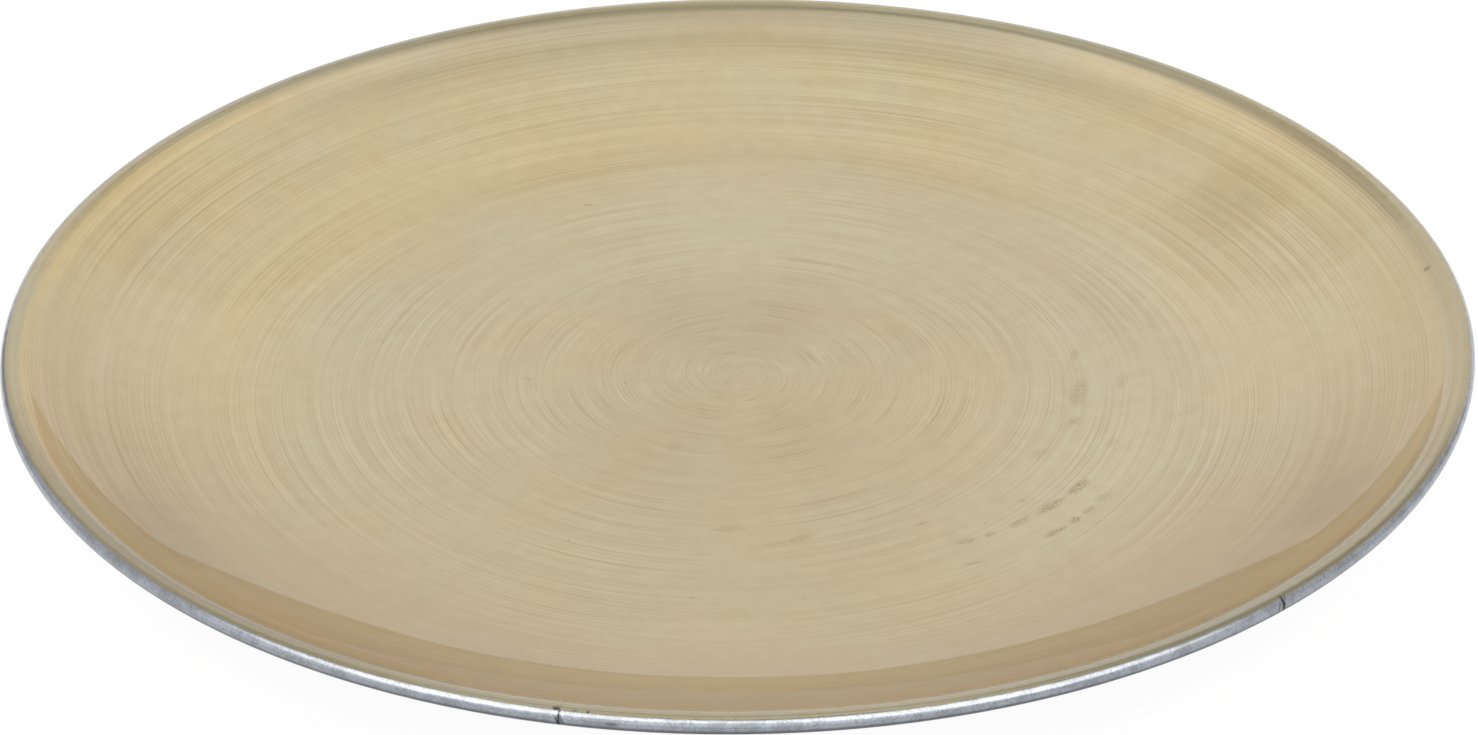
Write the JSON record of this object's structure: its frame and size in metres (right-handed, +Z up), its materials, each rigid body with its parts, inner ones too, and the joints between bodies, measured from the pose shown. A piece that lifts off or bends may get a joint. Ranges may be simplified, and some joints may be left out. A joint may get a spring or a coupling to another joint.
{
  "type": "charger plate",
  "caption": "Round charger plate with a flat well, a gently curved wall, a thick rounded edge wrapped in silver leaf, and a foot ring underneath.",
  "frame": {"origin": "centre of the surface that the foot ring stands on", "axes": "+Z up, out of the dish; +X and +Y across the plate"},
  "size_m": [0.33, 0.33, 0.0262],
  "materials": {
    "moulded_body": "dark moulded plastic with a fine satin grain",
    "brushed_face": "champagne metallic coat brushed in rings under a glossy clear lacquer",
    "silver_leaf": "silver-coloured leaf, satin, slightly creased, with dark open joints"
  },
  "bodies": {
    "root": {"plate_body": "moulded_body", "face_lacquer": "brushed_face", "edge_leaf_1": "silver_leaf", "edge_leaf_2": "silver_leaf", "edge_leaf_3": "silver_leaf", "edge_leaf_4": "silver_leaf", "edge_leaf_5": "silver_leaf", "edge_leaf_6": "silver_leaf", "edge_leaf_7": "silver_leaf"}
  },
  "joints": []
}
